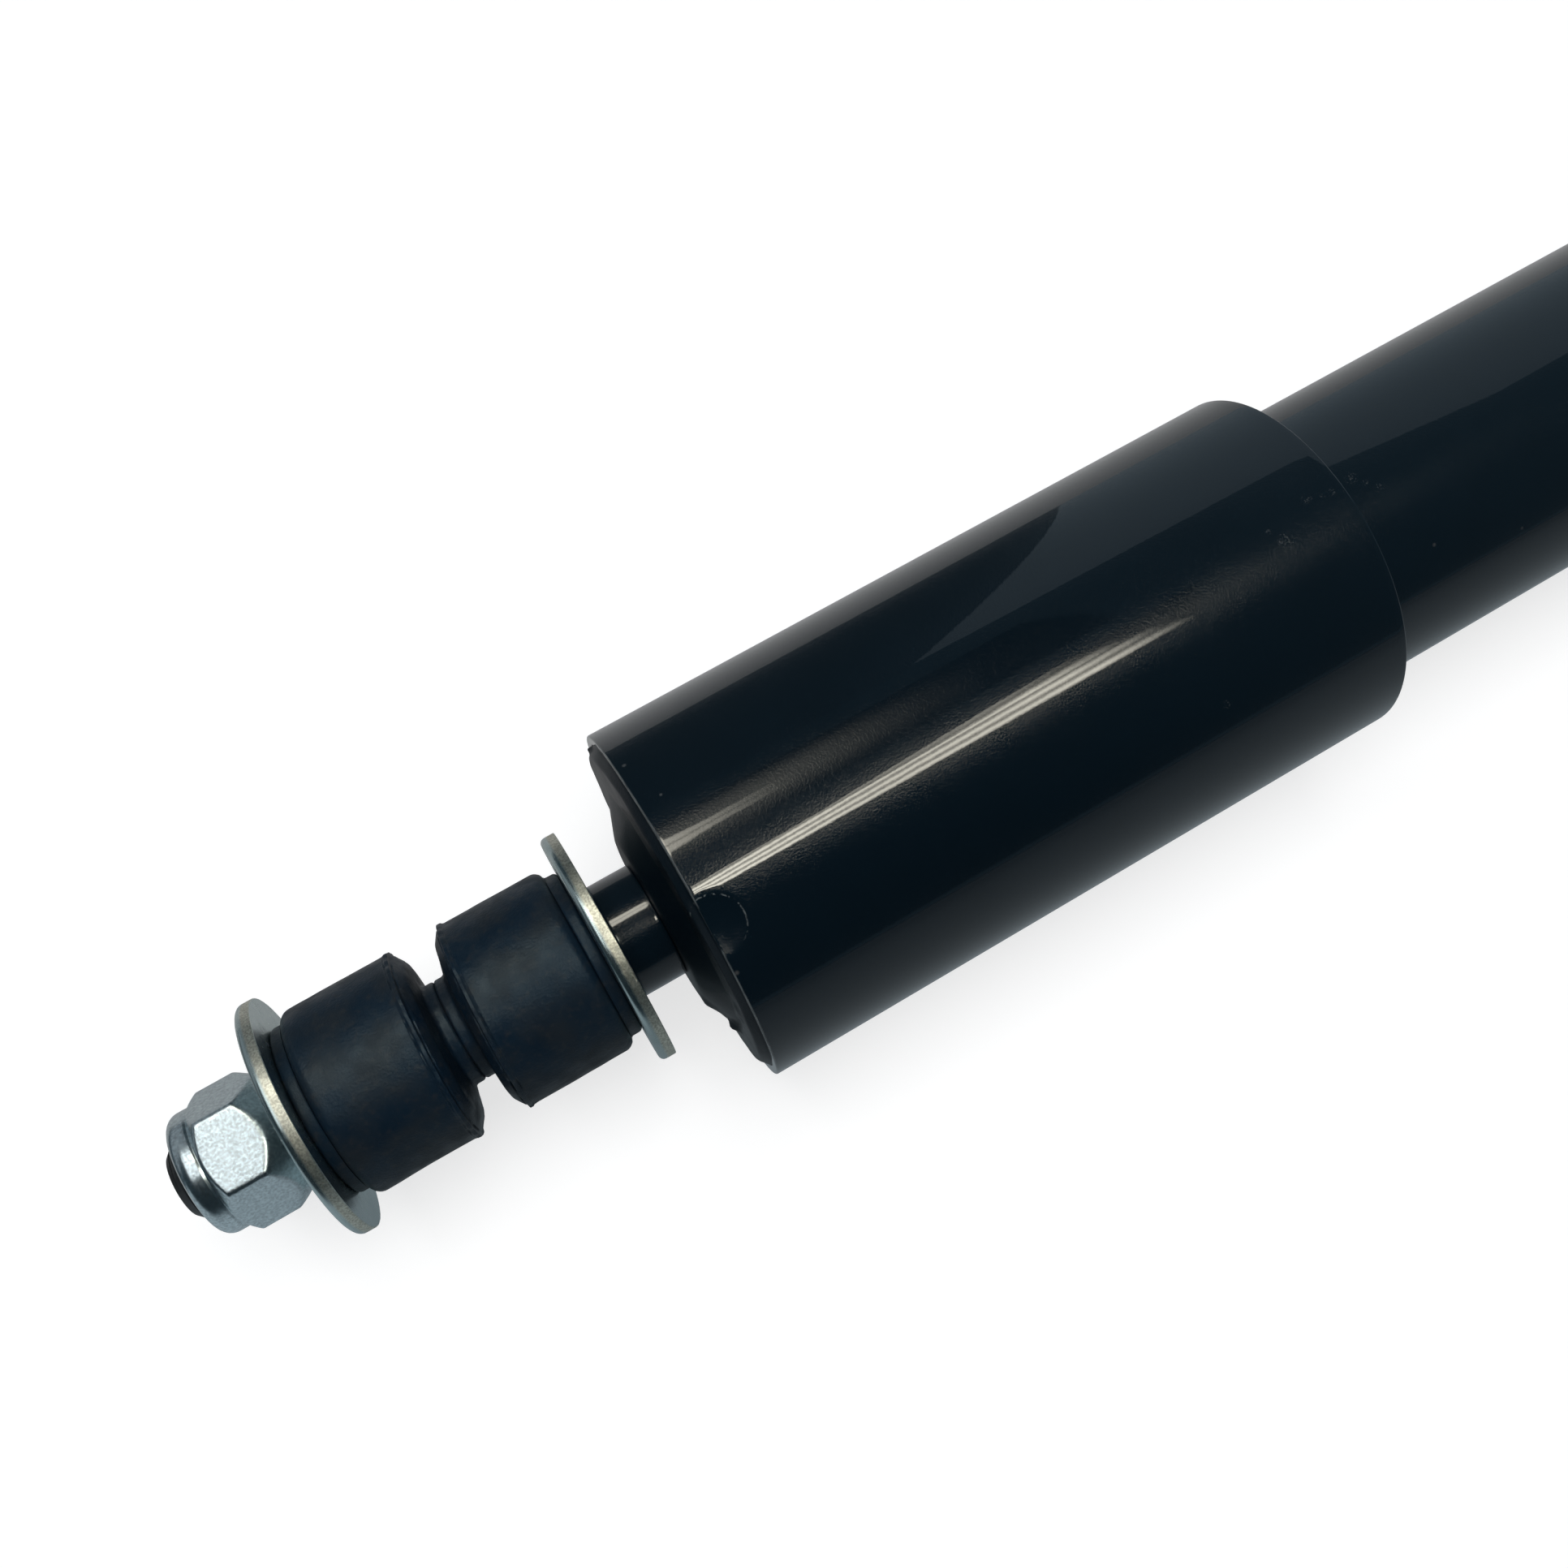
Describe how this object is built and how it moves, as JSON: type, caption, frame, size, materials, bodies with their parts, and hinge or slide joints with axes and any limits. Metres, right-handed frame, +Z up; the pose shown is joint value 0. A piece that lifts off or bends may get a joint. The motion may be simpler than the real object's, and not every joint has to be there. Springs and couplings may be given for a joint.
{
  "type": "shock absorber",
  "caption": "Twin-tube hydraulic shock absorber: painted reservoir and sliding dust cover, rubber-bushed threaded stem with washers and lock nut above, rubber-bushed eye below.",
  "frame": {"origin": "centre of the lower eye's bolt hole", "axes": "+X along the rod from the lower eye to the stem, Y along the eye's bolt, +Z up as it lies"},
  "size_m": [0.3741, 0.057, 0.057],
  "materials": {
    "black_paint": "gloss black enamel with slight orange peel",
    "rubber": "moulded matte black",
    "zinc": "zinc plated, stamped edge",
    "bright_zinc": "bright zinc plated",
    "chromed_rod": "hard chromed, threaded end painted black",
    "bare_steel": "oiled steel",
    "spring_steel": "oil-tempered wire",
    "sintered_iron": "sintered and steam treated",
    "guide_alloy": "turned",
    "bronze": "sintered bearing bronze",
    "nylon": "natural nylon",
    "band_plastic": "filled fluoropolymer"
  },
  "bodies": {
    "reservoir": {"reservoir_tube": "black_paint", "base_cup": "black_paint", "eye_ring": "black_paint", "eye_bush": "rubber", "base_valve_body": "sintered_iron", "base_valve_rivet": "bare_steel", "base_intake_spring": "spring_steel", "compression_shims": "spring_steel", "pressure_tube": "bare_steel", "rod_guide": "guide_alloy", "guide_bush": "bronze", "rod_seal": "rubber", "seal_garter_spring": "spring_steel", "seal_cap": "bare_steel"},
    "eye_sleeve": {"eye_sleeve": "zinc"},
    "base_intake_plate": {"base_intake_plate": "bare_steel"},
    "piston_band": {"piston_band": "band_plastic"},
    "rod": {"piston_rod": "chromed_rod", "piston": "sintered_iron", "piston_check_spring": "spring_steel", "piston_check_stop": "bare_steel", "rebound_valve_spring": "spring_steel", "piston_nut": "bare_steel", "rebound_stop_ring": "bare_steel", "rebound_bumper": "rubber", "dust_cover": "black_paint", "dust_cap": "black_paint", "stem_collar": "black_paint", "inner_washer": "zinc", "inner_bush": "rubber", "outer_bush": "rubber", "outer_washer": "zinc", "lock_nut": "bright_zinc", "nut_insert": "nylon"},
    "piston_check_plate": {"piston_check_plate": "bare_steel"},
    "rebound_valve_plate": {"rebound_valve_plate": "bare_steel"}
  },
  "joints": [
    {"name": "rod_slide", "type": "slide", "parent": "reservoir", "child": "piston_band", "axis": [1, 0, 0], "range_m": [-0.05, 0.04]},
    {"name": "rod_turn", "type": "hinge", "parent": "piston_band", "child": "rod", "pos_m": [0.13, 0, 0], "axis": [1, 0, 0], "continuous": true},
    {"name": "eye_twist", "type": "hinge", "parent": "reservoir", "child": "eye_sleeve", "pos_m": [0, 0, 0], "axis": [0, 1, 0], "range_deg": [-15, 15], "stiffness_Nm_per_rad": 0.4},
    {"name": "base_intake_lift", "type": "slide", "parent": "reservoir", "child": "base_intake_plate", "axis": [1, 0, 0], "range_m": [0, 0.001], "stiffness_N_per_m": 300, "springref_m": -0.002, "deforming": ["base_intake_spring"]},
    {"name": "piston_check_lift", "type": "slide", "parent": "rod", "child": "piston_check_plate", "axis": [1, 0, 0], "range_m": [0, 0.0008], "stiffness_N_per_m": 300, "springref_m": -0.002, "deforming": ["piston_check_spring"]},
    {"name": "rebound_valve_lift", "type": "slide", "parent": "rod", "child": "rebound_valve_plate", "axis": [-1, 0, 0], "range_m": [0, 0.0008], "stiffness_N_per_m": 300, "springref_m": -0.002, "deforming": ["rebound_valve_spring"]}
  ]
}
